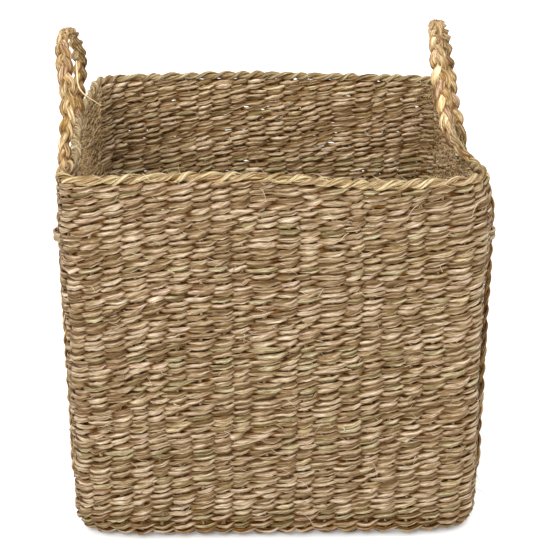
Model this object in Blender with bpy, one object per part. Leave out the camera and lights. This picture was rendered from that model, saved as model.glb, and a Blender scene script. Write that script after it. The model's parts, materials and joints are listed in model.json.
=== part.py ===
"""Seagrass storage basket: a square, open-topped basket twined round rope stakes.

Frame: metres, +Z up, origin at the middle of the underside, +X to the basket's right and
-Y to its front. Stakes run up one wall, across the base and up the opposite wall. The weft
is one closed solid for the base and one for the walls, with a channel round every stake.
Each handle is a three-strand braid that swings about a line along Y over the side wall.
"""

import math

import bmesh
import bpy
from mathutils import Vector

# Whole basket
HALF_WIDTH = 0.200  # outer face of a wall, from the middle
RIM_TOP = 0.376
WALL = 0.010  # wall thickness
CORNER_RADIUS = 0.030  # outer corner, in plan
HEEL_RADIUS = 0.027  # outer bottom edge, from wall to base
BASE_TOP = 0.0146
SEAM_Z = 0.030  # the base tray ends here and the wall ring starts
GAP = 0.0003  # air left between touching pieces
HALF_GAP = GAP / 2

# The top of the right wall curls inwards, pulled by its handle, and most near the front leg
CURL = 0.020
CURL_FROM = 0.320  # height where the curl starts
CURL_SKEW = 0.35  # how much more it curls towards the front than in the middle
CURL_STEPS = 4

# Stakes: rope uprights at one pitch all the way round
STAKE_PITCH = 0.020
STAKES_PER_SIDE = 18
STAKE_RADIUS = 0.0022
STAKE_SIDES = 5
CHANNEL_CLEARANCE = 0.00035
STAKE_INSET = WALL / 2  # a stake stands in the middle of the wall
LOWER_LAYER_Z = 0.0045  # stakes along X, across the base
UPPER_LAYER_Z = 0.0102  # stakes along Y, over them
STAKE_TOP = 0.366
CORNER_STAKE_BOTTOM = 0.021

# Rim: two strands twisted into one rope that runs round the top of the wall
RIM_STRAND_RADIUS = 0.0021
RIM_STRAND_OFFSET = 0.00255
RIM_TURNS = 23
RIM_RINGS_PER_TURN = 6
RIM_SIDES = 5

# Steps of the rounded shapes
CORNER_STEPS = 5
SIDE_STEPS = 12
HEEL_STEPS = 4
STAKE_BEND_STEPS = 3
FLOOR_CORNER_RADIUS = 0.004
FLOOR_EDGE_RISE = 0.003
CURVE_SAMPLES = 800

# Handles
LEG_FRONT_Y = -0.140
LEG_BACK_Y = 0.022
HINGE_Z = 0.382
HINGE_X_RIGHT = 0.1850
HINGE_X_LEFT = -0.2041
BRAID_STRAND_RADIUS = 0.0018
BRAID_HALF_SWING = 0.0064  # how far a strand swings across the braid
BRAID_HALF_LIFT = 0.0035  # how far it rises and dips through the braid
BRAID_PERIOD = 0.036
BRAID_RINGS_PER_PERIOD = 6
BRAID_SIDES = 5
LOOP_ROUNDNESS = 2.4  # exponent of the loop's superellipse; 2 is a true ellipse
LOOP_TWIST_LENGTH = 0.045  # the braid turns a quarter turn over this length of each leg
LOOP_TURN_RATE = 2.2  # how soon the loop's turn about the vertical is complete, off its middle
# Per handle: loop height, lean and bow towards +X, turn at each leg, power of the turn
LEFT_LOOP = (0.092, 0.009, 0.0075, 0.0015, 2)
RIGHT_LOOP = (0.101, -0.030, -0.0025, -0.0085, 6)

# Straps: the handle braids running on down the outside of the side walls
STRAP_BOTTOM = 0.040
STRAP_CLEARANCE = 0.0006  # the curled wall is faceted behind the straps
STRAP_TOP = RIM_TOP - GAP
STRAP_HALF_WIDTH = 0.0080
STRAP_WAIST = 0.0066
STRAP_THICKNESS = 0.0070
STRAP_LOBE = 0.024  # length of one lobe of the braid's edge
LASHING_Z = 0.300
LASHING_HALF_HEIGHT = 0.004
LASHING_THICKNESS = 0.0024


# ---------------------------------------------------------------- shape helpers


def curled(point):
    """Moves a point of the straight-sided basket to where the curled right wall puts it."""
    x, y, z = point
    height = max(0.0, (z - CURL_FROM) / (RIM_TOP - CURL_FROM)) ** 2
    along = (1.0 - min(1.0, abs(y) / HALF_WIDTH) ** 4) * (1.0 - CURL_SKEW * y / HALF_WIDTH)
    shift = CURL * along * height * max(0.0, x) / HALF_WIDTH
    return Vector((x - shift, y, z))


def curl_levels(top):
    """Heights, from the start of the curl up to a top, that follow the curl closely."""
    return [CURL_FROM + (top - CURL_FROM) * step / CURL_STEPS for step in range(CURL_STEPS + 1)]


def rounded_square(half, radius, steps, side_steps=1):
    """Points round a square with rounded corners, anticlockwise from the front right."""
    flat = half - radius
    centres = ((1, -1), (1, 1), (-1, 1), (-1, -1))
    points = []
    for corner, (sx, sy) in enumerate(centres):
        start = math.radians(-90 + 90 * corner)
        for step in range(steps + 1):
            angle = start + math.radians(90) * step / steps
            points.append((sx * flat + radius * math.cos(angle), sy * flat + radius * math.sin(angle)))
        nx, ny = centres[(corner + 1) % 4]
        end = start + math.radians(90)
        first = Vector((sx * flat + radius * math.cos(end), sy * flat + radius * math.sin(end)))
        last = Vector((nx * flat + radius * math.cos(end), ny * flat + radius * math.sin(end)))
        for step in range(1, side_steps):
            points.append(tuple(first.lerp(last, step / side_steps)))
    return points


def new_object(name, bm, material, curl=False):
    """Turns a bmesh into a named object, curled with the walls if it is built into them."""
    if curl:
        for vert in bm.verts:
            vert.co = curled(vert.co)
    bmesh.ops.recalc_face_normals(bm, faces=bm.faces)
    mesh = bpy.data.meshes.new(name)
    bm.to_mesh(mesh)
    bm.free()
    mesh.materials.append(material)
    obj = bpy.data.objects.new(name, mesh)
    bpy.context.scene.collection.objects.link(obj)
    return obj


def ring(bm, centre, side, up, half_side, half_up, sides, turn=0.0):
    """One ring of vertices round a centre, an ellipse along the side and up directions."""
    verts = []
    for i in range(sides):
        angle = math.tau * i / sides + turn
        offset = side * (half_side * math.cos(angle)) + up * (half_up * math.sin(angle))
        verts.append(bm.verts.new(centre + offset))
    return verts


def bridge(bm, first, second):
    count = len(first)
    for i in range(count):
        j = (i + 1) % count
        bm.faces.new((first[i], first[j], second[j], second[i]))


def skin(bm, rings, closed=False):
    """Joins rings into a tube, with a flat cap on each end unless it closes on itself."""
    for first, second in zip(rings, rings[1:]):
        bridge(bm, first, second)
    if closed:
        bridge(bm, rings[-1], rings[0])
    else:
        bm.faces.new(rings[0])
        bm.faces.new(rings[-1])


def flat_tube(bm, path, across, radius, sides):
    """A round tube along a path that stays in one plane; across is that plane's normal."""
    rings = []
    for i, point in enumerate(path):
        before = path[max(i - 1, 0)]
        after = path[min(i + 1, len(path) - 1)]
        up = across.cross((after - before).normalized())
        rings.append(ring(bm, point, across, up, radius, radius, sides))
    skin(bm, rings)


def shade_smooth(obj, angle=50):
    obj.data.shade_smooth()
    obj.data.set_sharp_from_angle(angle=math.radians(angle))


# ---------------------------------------------------------------- materials


def make_material(name, colour, roughness):
    material = bpy.data.materials.new(name)
    material.use_nodes = True
    shader = material.node_tree.nodes["Principled BSDF"]
    shader.inputs["Base Color"].default_value = (*colour, 1.0)
    shader.inputs["Roughness"].default_value = roughness
    shader.inputs["Metallic"].default_value = 0.0
    return material


def make_materials():
    return {
        "weft": make_material("seagrass_weft", (0.42, 0.29, 0.16), 0.75),
        "base": make_material("seagrass_base", (0.36, 0.25, 0.14), 0.80),
        "stake": make_material("seagrass_stake", (0.33, 0.23, 0.12), 0.80),
        "rim": make_material("seagrass_rim", (0.52, 0.41, 0.20), 0.70),
        "braid": make_material("seagrass_braid", (0.58, 0.42, 0.24), 0.65),
        "lashing": make_material("seagrass_lashing", (0.45, 0.33, 0.17), 0.75),
    }


# ---------------------------------------------------------------- stakes


def stake_offsets():
    first = -STAKE_PITCH * (STAKES_PER_SIDE - 1) / 2
    return [first + STAKE_PITCH * i for i in range(STAKES_PER_SIDE)]


def u_path(along, offset, floor_z, levels):
    """A stake's centre line: down one wall, across the base along an axis, up the other."""
    across = Vector((0, 0, 1)).cross(along)
    wall_at = HALF_WIDTH - STAKE_INSET
    bend = HEEL_RADIUS - floor_z
    half = [(wall_at, z) for z in reversed(levels)]
    for step in range(STAKE_BEND_STEPS + 1):
        angle = math.radians(90) * step / STAKE_BEND_STEPS
        x = wall_at - bend * (1 - math.cos(angle))
        half.append((x, floor_z + bend * (1 - math.sin(angle))))
    path = [along * -x + across * offset + Vector((0, 0, z)) for x, z in half]
    path += [along * x + across * offset + Vector((0, 0, z)) for x, z in reversed(half)]
    return path, across


def corner_centres():
    """Plan positions of the four extra stakes, half way round each corner."""
    flat = HALF_WIDTH - CORNER_RADIUS
    reach = (CORNER_RADIUS - STAKE_INSET) * math.cos(math.radians(45))
    names = {"front_left": (-1, -1), "front_right": (1, -1), "back_left": (-1, 1), "back_right": (1, 1)}
    return {name: (sx * (flat + reach), sy * (flat + reach)) for name, (sx, sy) in names.items()}


def upright_ring(bm, x, y, z, radius):
    """One ring of a vertical stake or of its channel, the same way round as a U stake's."""
    across = Vector((-1, 0, 0)) if abs(y) > abs(x) else Vector((0, 1, 0))
    up = across.cross(Vector((0, 0, 1)))
    return ring(bm, Vector((x, y, z)), across, up, radius, radius, STAKE_SIDES)


def make_stakes(material):
    directions = {"x": (Vector((1, 0, 0)), LOWER_LAYER_Z), "y": (Vector((0, 1, 0)), UPPER_LAYER_Z)}
    for letter, (along, floor_z) in directions.items():
        for number, offset in enumerate(stake_offsets(), start=1):
            bm = bmesh.new()
            path, across = u_path(along, offset, floor_z, curl_levels(STAKE_TOP))
            flat_tube(bm, path, across, STAKE_RADIUS, STAKE_SIDES)
            new_object(f"stake_{letter}_{number:02d}", bm, material, curl=True)
    for name, (x, y) in corner_centres().items():
        bm = bmesh.new()
        levels = [CORNER_STAKE_BOTTOM] + curl_levels(STAKE_TOP)
        skin(bm, [upright_ring(bm, x, y, z, STAKE_RADIUS) for z in levels])
        new_object(f"corner_stake_{name}", bm, material, curl=True)


def channel_cutter(top_z):
    """One hidden object made of every stake, thickened by the channel clearance."""
    bm = bmesh.new()
    radius = STAKE_RADIUS + CHANNEL_CLEARANCE
    for along, floor_z in ((Vector((1, 0, 0)), LOWER_LAYER_Z), (Vector((0, 1, 0)), UPPER_LAYER_Z)):
        for offset in stake_offsets():
            path, across = u_path(along, offset, floor_z, [top_z])
            flat_tube(bm, path, across, radius, STAKE_SIDES)
    for x, y in corner_centres().values():
        low = CORNER_STAKE_BOTTOM - CHANNEL_CLEARANCE
        skin(bm, [upright_ring(bm, x, y, z, radius) for z in (low, top_z)])
    return bm


# ---------------------------------------------------------------- weft


def make_base(material):
    """The woven floor and its rounded heel, up to the seam, channelled for the stakes."""
    bm = bmesh.new()
    rings = []
    for step in range(HEEL_STEPS + 1):
        angle = math.radians(90) * step / HEEL_STEPS
        inset = HEEL_RADIUS * (1 - math.sin(angle))
        z = HEEL_RADIUS * (1 - math.cos(angle))
        points = rounded_square(HALF_WIDTH - inset, CORNER_RADIUS - inset, CORNER_STEPS)
        rings.append([bm.verts.new((x, y, z)) for x, y in points])
    inner_corner = CORNER_RADIUS - WALL
    for half, radius, z in (
        (HALF_WIDTH, CORNER_RADIUS, SEAM_Z - HALF_GAP),
        (HALF_WIDTH - WALL, inner_corner, SEAM_Z - HALF_GAP),
        (HALF_WIDTH - WALL, inner_corner, HEEL_RADIUS),
        (HALF_WIDTH - WALL - inner_corner / 2, inner_corner / 2, BASE_TOP + FLOOR_EDGE_RISE),
        (HALF_WIDTH - HEEL_RADIUS, FLOOR_CORNER_RADIUS, BASE_TOP),
    ):
        points = rounded_square(half, radius, CORNER_STEPS)
        rings.append([bm.verts.new((x, y, z)) for x, y in points])
    skin(bm, rings)
    base = new_object("base_weft", bm, material)
    cutter = new_object("stake_channels", channel_cutter(RIM_TOP), material)
    cutter.hide_render = True
    cutter.display_type = "WIRE"
    cut = base.modifiers.new("channels", "BOOLEAN")
    cut.operation = "DIFFERENCE"
    cut.object = cutter
    return base


def make_walls(material):
    """The woven walls, one ring from the seam to the rim, with a hole for every stake."""
    bm = bmesh.new()
    bottom = SEAM_Z + HALF_GAP
    top = RIM_TOP - 2 * (RIM_STRAND_RADIUS + RIM_STRAND_OFFSET) - GAP
    outlines = []
    for half, radius in ((HALF_WIDTH, CORNER_RADIUS), (HALF_WIDTH - WALL, CORNER_RADIUS - WALL)):
        outlines.append(rounded_square(half, radius, CORNER_STEPS, SIDE_STEPS))
    levels = [bottom] + curl_levels(top)
    ends = {0: [], len(levels) - 1: []}
    for outline in outlines + channel_sections():
        below = None
        for index, z in enumerate(levels):
            verts = [bm.verts.new((x, y, z)) for x, y in outline]
            if index in ends:
                ends[index] += [bm.edges.new((verts[i - 1], verts[i])) for i in range(len(verts))]
            if below:
                bridge(bm, below, verts)
            below = verts
    for edges in ends.values():
        bmesh.ops.triangle_fill(bm, edges=edges, use_beauty=True, use_dissolve=False)
    return new_object("wall_weft", bm, material, curl=True)


def channel_sections():
    """Plan outlines of the holes that the stakes stand in."""
    radius = STAKE_RADIUS + CHANNEL_CLEARANCE
    wall_at = HALF_WIDTH - STAKE_INSET
    centres = []
    for offset in stake_offsets():
        centres += [(wall_at, offset), (-wall_at, offset), (offset, wall_at), (offset, -wall_at)]
    centres += corner_centres().values()
    sections = []
    for x, y in centres:
        bm = bmesh.new()
        sections.append([(v.co.x, v.co.y) for v in upright_ring(bm, x, y, 0.0, radius)])
        bm.free()
    return sections


# ---------------------------------------------------------------- rim


def rim_point(distance):
    """A point of the rim's centre line and its outward normal, at a distance round it."""
    half = HALF_WIDTH - WALL / 2
    radius = CORNER_RADIUS - WALL / 2
    flat = half - radius
    straight = 2 * flat
    arc = radius * math.radians(90)
    side = int(distance // (straight + arc)) % 4
    rest = distance - (straight + arc) * (distance // (straight + arc))
    turn = math.radians(90 * side)
    if rest < straight:
        x, y, angle = half, -flat + rest, 0.0
    else:
        angle = (rest - straight) / radius
        x, y = flat + radius * math.cos(angle), flat + radius * math.sin(angle)
    spun = Vector((x * math.cos(turn) - y * math.sin(turn), x * math.sin(turn) + y * math.cos(turn), 0))
    return spun, Vector((math.cos(angle + turn), math.sin(angle + turn), 0))


def rim_length():
    radius = CORNER_RADIUS - WALL / 2
    return 4 * (2 * (HALF_WIDTH - CORNER_RADIUS) + radius * math.radians(90))


def make_rim(material):
    """Two strands wound round each other along the top of the wall, each a closed ring."""
    count = RIM_TURNS * RIM_RINGS_PER_TURN
    lift = Vector((0, 0, RIM_TOP - RIM_STRAND_RADIUS - RIM_STRAND_OFFSET))
    for letter, phase in (("a", 0.0), ("b", math.pi)):
        bm = bmesh.new()
        rings = []
        for i in range(count):
            centre, outward = rim_point(rim_length() * i / count)
            angle = math.tau * i / RIM_RINGS_PER_TURN + phase
            radial = outward * math.cos(angle) + Vector((0, 0, 1)) * math.sin(angle)
            other = outward * -math.sin(angle) + Vector((0, 0, 1)) * math.cos(angle)
            place = centre + lift + radial * RIM_STRAND_OFFSET
            rings.append(ring(bm, place, radial, other, RIM_STRAND_RADIUS, RIM_STRAND_RADIUS, RIM_SIDES))
        skin(bm, rings, closed=True)
        shade_smooth(new_object(f"rim_strand_{letter}", bm, material, curl=True))


# ---------------------------------------------------------------- handles


def loop_centre(share, hinge_x, loop):
    """A point of a handle loop's centre line; share runs from 0 at the front leg to 1."""
    height, lean, bow, turn, turn_power = loop
    half_span = (LEG_BACK_Y - LEG_FRONT_Y) / 2
    power = 2 / LOOP_ROUNDNESS
    angle = math.pi * share
    y = -math.copysign(abs(math.cos(angle)) ** power, math.cos(angle))
    rise = abs(math.sin(angle)) ** power
    turned = math.tanh(LOOP_TURN_RATE * y) / math.tanh(LOOP_TURN_RATE)
    x = lean * rise + 4 * bow * rise * (1 - rise) - turn * turned * (1 - (1 - rise) ** turn_power)
    return Vector((hinge_x + x, (LEG_FRONT_Y + LEG_BACK_Y) / 2 + half_span * y, HINGE_Z + height * rise))


def even_points(curve, count):
    """Points spaced evenly along a curve that is given as a function of 0 to 1."""
    fine = [curve(i / CURVE_SAMPLES) for i in range(CURVE_SAMPLES + 1)]
    lengths = [0.0]
    for first, second in zip(fine, fine[1:]):
        lengths.append(lengths[-1] + (second - first).length)
    points = []
    index = 0
    for i in range(count + 1):
        target = lengths[-1] * i / count
        while index < len(fine) - 2 and lengths[index + 1] < target:
            index += 1
        span = lengths[index + 1] - lengths[index]
        points.append(fine[index].lerp(fine[index + 1], (target - lengths[index]) / span))
    return points, lengths[-1]


def braid_frames(points, length):
    """For each point: along, across and through the braid, twisted near both ends."""
    frames = []
    last = len(points) - 1
    for i, point in enumerate(points):
        along = (points[min(i + 1, last)] - points[max(i - 1, 0)]).normalized()
        across = Vector((1, 0, 0))
        across = (across - along * across.dot(along)).normalized()
        through = along.cross(across)
        from_end = min(i, last - i) * length / last
        blend = max(0.0, 1.0 - from_end / LOOP_TWIST_LENGTH)
        angle = math.radians(90) * blend * blend * (3 - 2 * blend)
        turned = across * math.cos(angle) + through * math.sin(angle)
        frames.append((along, turned, along.cross(turned)))
    return frames


def make_loop(side, hinge_x, loop, material):
    """One handle loop, three strands braided; they cross where they have a ring of points."""
    _, length = even_points(lambda share: loop_centre(share, hinge_x, loop), 1)
    periods = round(length / BRAID_PERIOD)
    count = periods * BRAID_RINGS_PER_PERIOD
    points, length = even_points(lambda share: loop_centre(share, hinge_x, loop), count)
    frames = braid_frames(points, length)
    pivot = bpy.data.objects.new(f"{side}_handle_pivot", None)
    pivot.location = (hinge_x, (LEG_FRONT_Y + LEG_BACK_Y) / 2, HINGE_Z)
    bpy.context.scene.collection.objects.link(pivot)
    for strand in range(3):
        bm = bmesh.new()
        rings = []
        for i, (point, (_, across, through)) in enumerate(zip(points, frames)):
            angle = math.tau * ((i + 0.5) / BRAID_RINGS_PER_PERIOD + strand / 3)
            swing = across * (BRAID_HALF_SWING * math.sin(angle))
            lift = through * (BRAID_HALF_LIFT * math.sin(2 * angle))
            place = point + swing + lift - pivot.location
            rings.append(
                ring(bm, place, across, through, BRAID_STRAND_RADIUS, BRAID_STRAND_RADIUS, BRAID_SIDES)
            )
        skin(bm, rings)
        obj = new_object(f"{side}_handle_strand_{strand + 1}", bm, material)
        obj.parent = pivot
        shade_smooth(obj)


def make_strap(name, sign, y, material):
    """One strap: the braid laid flat down the outside of a side wall, lobed along its edges."""
    bm = bmesh.new()
    outer = Vector((sign, 0, 0))
    lobes = round((STRAP_TOP - STRAP_BOTTOM) / STRAP_LOBE)
    rings = []
    for i in range(2 * lobes + 1):
        z = STRAP_BOTTOM + (STRAP_TOP - STRAP_BOTTOM) * i / (2 * lobes)
        half_width = STRAP_HALF_WIDTH if i % 2 else STRAP_WAIST
        if i == 0:
            half_width = STRAP_WAIST / 2
        middle = Vector((sign * (HALF_WIDTH + STRAP_CLEARANCE + STRAP_THICKNESS / 2), y, z))
        rings.append([bm.verts.new(middle + p) for p in strap_section(outer, half_width)])
    skin(bm, rings)
    shade_smooth(new_object(name, bm, material, curl=True))


def strap_section(outer, half_width):
    """A flat six-sided section, its broad inner face against the wall."""
    half = STRAP_THICKNESS / 2
    along = Vector((0, 1, 0))
    corners = (
        (-half, -0.75),
        (-half, 0.75),
        (0.1 * half, 1.0),
        (half, 0.6),
        (half, -0.6),
        (0.1 * half, -1.0),
    )
    return [outer * depth + along * (width * half_width) for depth, width in corners]


def make_lashing(name, sign, y, material):
    """A weft strand that passes over a strap and holds it to the wall: a flat bridge."""
    bm = bmesh.new()
    inner = HALF_WIDTH + STRAP_CLEARANCE
    under = inner + STRAP_THICKNESS + GAP
    over = under + LASHING_THICKNESS
    near = STRAP_HALF_WIDTH + 2 * GAP
    far = near + LASHING_THICKNESS
    profile = [(inner, -far), (over, -far), (over, far), (inner, far), (inner, near), (under, near)]
    profile += [(under, -near), (inner, -near)]
    levels = []
    for z in (LASHING_Z - LASHING_HALF_HEIGHT, LASHING_Z + LASHING_HALF_HEIGHT):
        levels.append([bm.verts.new((sign * x, y + offset, z)) for x, offset in profile])
    skin(bm, levels)
    new_object(name, bm, material, curl=True)


def make_handles(materials):
    sides = {"left": (-1, HINGE_X_LEFT, LEFT_LOOP), "right": (1, HINGE_X_RIGHT, RIGHT_LOOP)}
    for side, (sign, hinge_x, loop) in sides.items():
        make_loop(side, hinge_x, loop, materials["braid"])
        for place, y in (("front", LEG_FRONT_Y), ("back", LEG_BACK_Y)):
            make_strap(f"{side}_{place}_strap", sign, y, materials["braid"])
            make_lashing(f"{side}_{place}_lashing", sign, y, materials["lashing"])


def clear_scene():
    for obj in list(bpy.data.objects):
        bpy.data.objects.remove(obj, do_unlink=True)


def main():
    clear_scene()
    materials = make_materials()
    make_stakes(materials["stake"])
    make_base(materials["base"])
    make_walls(materials["weft"])
    make_rim(materials["rim"])
    make_handles(materials)


main()
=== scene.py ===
"""Looks of the seagrass storage basket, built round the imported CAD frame.

Every strand of the weave is a real tube. The walls are rows of two weft strands that twine
round each stake; the rim is a rope of two strands; each handle is one braid that runs up
the wall, over the loop and down again. All lengths are metres.
"""

import json
import math

import bpy
import numpy as np
from mathutils import Matrix, Vector


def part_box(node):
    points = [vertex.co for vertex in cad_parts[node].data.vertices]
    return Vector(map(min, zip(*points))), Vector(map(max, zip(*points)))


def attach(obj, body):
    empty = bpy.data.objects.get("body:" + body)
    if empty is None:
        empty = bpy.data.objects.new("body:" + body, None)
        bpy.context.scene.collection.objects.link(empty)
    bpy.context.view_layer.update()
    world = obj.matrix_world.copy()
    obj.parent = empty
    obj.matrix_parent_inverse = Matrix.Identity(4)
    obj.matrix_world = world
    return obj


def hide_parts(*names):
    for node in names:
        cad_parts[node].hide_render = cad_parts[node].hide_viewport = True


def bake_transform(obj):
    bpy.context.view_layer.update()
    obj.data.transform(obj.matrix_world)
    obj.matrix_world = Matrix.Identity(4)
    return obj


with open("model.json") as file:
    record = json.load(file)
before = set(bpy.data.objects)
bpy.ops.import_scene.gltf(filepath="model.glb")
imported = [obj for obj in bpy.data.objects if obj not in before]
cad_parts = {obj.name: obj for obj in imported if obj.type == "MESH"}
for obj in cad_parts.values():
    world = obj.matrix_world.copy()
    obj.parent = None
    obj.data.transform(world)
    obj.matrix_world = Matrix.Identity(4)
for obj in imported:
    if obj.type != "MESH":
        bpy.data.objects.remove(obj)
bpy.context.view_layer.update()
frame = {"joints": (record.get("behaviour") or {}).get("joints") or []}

TAU = math.tau
MM = 0.001

# ---------------------------------------------------------------- sizes read from the frame

WALL_LOW, WALL_HIGH = (np.array(corner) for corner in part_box("wall_weft"))
RIM_LOW, RIM_HIGH = (np.array(corner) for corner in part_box("rim_strand_a"))
HALF = WALL_HIGH[1]  # the front and back walls stay straight, so this is half the depth
RIM_TOP = RIM_HIGH[2]
WALL_TOP = WALL_HIGH[2]
HINGES = {joint["child"]: joint["pos_m"] for joint in frame["joints"]}

# The weave's plan: 18 stakes at one pitch on each side and one in each corner
WALL = 10 * MM
MIDDLE = HALF - WALL / 2
CORNER = 25 * MM  # radius of the wall's middle line, in plan
FLAT = MIDDLE - CORNER
STAKE_PITCH = 20 * MM
STAKES_PER_SIDE = 18
SIDE_STEPS = STAKES_PER_SIDE + 1
STAKES_ROUND = 4 * SIDE_STEPS
FLOOR_SIDES = 4.5 * MM  # height of the stakes that cross the base along X
FLOOR_ENDS = 10.2 * MM  # height of the stakes that cross over them along Y
HEEL_ENDS = 6.6 * MM  # height where the front and back walls start
HEEL_TOP = 27 * MM
HEEL_ROWS = 5
HEEL_SQUARE = 0.7  # below 1 the turn from the base to the wall is squarer than a circle
WALL_ROWS = 56
ROWS = HEEL_ROWS + WALL_ROWS
ROW_PITCH = (WALL_TOP - 1 * MM - HEEL_TOP) / WALL_ROWS

# How far the top of the right wall curls in, as in the CAD, and where the curl starts
CURL = 20 * MM
CURL_FROM = 320 * MM
CURL_SKEW = 0.35

SEED = 532

# Painted shade: how much of a strand's colour is left in the crevices between strands, where shade falls
PAINTED_CREVICE_SHADE = np.array([0.36, 0.20, 0.04])


def generator(number):
    """A random generator of its own for each part of the basket."""
    return np.random.default_rng([SEED, number])


# ---------------------------------------------------------------- mesh helpers


def normalise(vectors):
    return vectors / np.maximum(np.linalg.norm(vectors, axis=-1, keepdims=True), 1e-12)


def smoothstep(value):
    value = np.clip(value, 0, 1)
    return value * value * (3 - 2 * value)


def make_object(name, verts, faces, material, attributes):
    """A smooth mesh of quads with per-vertex attributes, given as name: (type, array)."""
    mesh = bpy.data.meshes.new(name)
    mesh.vertices.add(len(verts))
    mesh.vertices.foreach_set("co", np.ascontiguousarray(verts, np.float32).ravel())
    mesh.loops.add(faces.size)
    mesh.loops.foreach_set("vertex_index", np.ascontiguousarray(faces, np.int32).ravel())
    mesh.polygons.add(len(faces))
    mesh.polygons.foreach_set("loop_start", np.arange(0, faces.size, 4, dtype=np.int32))
    mesh.polygons.foreach_set("use_smooth", np.ones(len(faces), bool))
    mesh.update(calc_edges=True)
    fields = {"FLOAT": "value", "FLOAT_VECTOR": "vector", "FLOAT_COLOR": "color"}
    for label, (kind, values) in attributes.items():
        layer = mesh.attributes.new(label, kind, "POINT")
        layer.data.foreach_set(fields[kind], np.ascontiguousarray(values, np.float32).ravel())
    mesh.materials.append(material)
    obj = bpy.data.objects.new(name, mesh)
    bpy.context.scene.collection.objects.link(obj)
    return obj


def tube_faces(tubes, points, sides, closed):
    """Quads of a batch of tubes, with capped ends unless each tube closes on itself."""
    index = np.arange(tubes * points * sides).reshape(tubes, points, sides)
    after = np.roll(index, -1, axis=1)
    if not closed:
        index_along, after = index[:, :-1], after[:, :-1]
    else:
        index_along = index
    side = np.roll(index_along, -1, axis=2)
    side_after = np.roll(after, -1, axis=2)
    faces = [np.stack([index_along, side, side_after, after], -1).reshape(-1, 4)]
    if not closed:
        for k in range(sides // 2 - 1):
            corners = [k, k + 1, sides - 2 - k, sides - 1 - k]
            faces.append(index[:, 0][:, corners[::-1]])
            faces.append(index[:, -1][:, corners])
    return np.concatenate(faces)


def tangents(centre, closed):
    """Unit tangents along a batch of paths, shaped (tubes, points, 3)."""
    if closed:
        along = np.roll(centre, -1, axis=1) - np.roll(centre, 1, axis=1)
    else:
        along = np.gradient(centre, axis=1)
    return normalise(along)


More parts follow.
